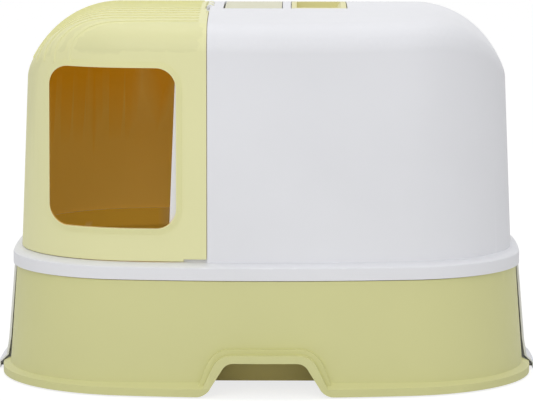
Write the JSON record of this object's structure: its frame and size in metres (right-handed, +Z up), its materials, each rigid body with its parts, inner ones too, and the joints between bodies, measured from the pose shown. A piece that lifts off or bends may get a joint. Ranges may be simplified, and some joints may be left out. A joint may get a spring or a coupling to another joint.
{
  "type": "drawer litter box",
  "caption": "Enclosed litter box with a flip-up entry cover, a lift-off hood with a roof grip and filter cap, and a pull-out litter drawer with a hand notch.",
  "frame": {"origin": "on the floor under the middle of the box", "axes": "+X towards the plain end of the hood, away from the entrance end; -Y out of the front, the way the drawer pulls; +Z up"},
  "size_m": [0.58, 0.4099, 0.3939],
  "materials": {
    "white_plastic": "fine moulded grain, satin",
    "green_plastic": "fine moulded grain, satin",
    "steel": "plain",
    "rubber": "matte",
    "charcoal": "needled felt"
  },
  "bodies": {
    "base": {"base_frame": "white_plastic", "left_runner": "white_plastic", "right_runner": "white_plastic", "foot_pads": "rubber"},
    "hood": {"hood": "white_plastic", "hinge_pin": "steel", "cap_pins": "steel", "charcoal_pad": "charcoal", "grip_cup": "green_plastic"},
    "cover": {"entry_cover": "green_plastic"},
    "cap": {"filter_cap": "green_plastic"},
    "drawer": {"drawer_tray": "green_plastic", "drawer_front": "green_plastic", "front_screws": "steel"}
  },
  "joints": [
    {"name": "hood_lift", "type": "slide", "parent": "base", "child": "hood", "axis": [0, 0, 1], "range_m": [0, 0.25]},
    {"name": "cover_flip", "type": "hinge", "parent": "hood", "child": "cover", "pos_m": [-0.06, 0, 0.3895], "axis": [0, 1, 0], "range_deg": [0, 95]},
    {"name": "cap_flip", "type": "hinge", "parent": "hood", "child": "cap", "pos_m": [-0.0408, -0.006, 0.3893], "axis": [0, -1, 0], "range_deg": [0, 90]},
    {"name": "drawer_slide", "type": "slide", "parent": "base", "child": "drawer", "axis": [0, -1, 0], "range_m": [0, 0.36]}
  ]
}
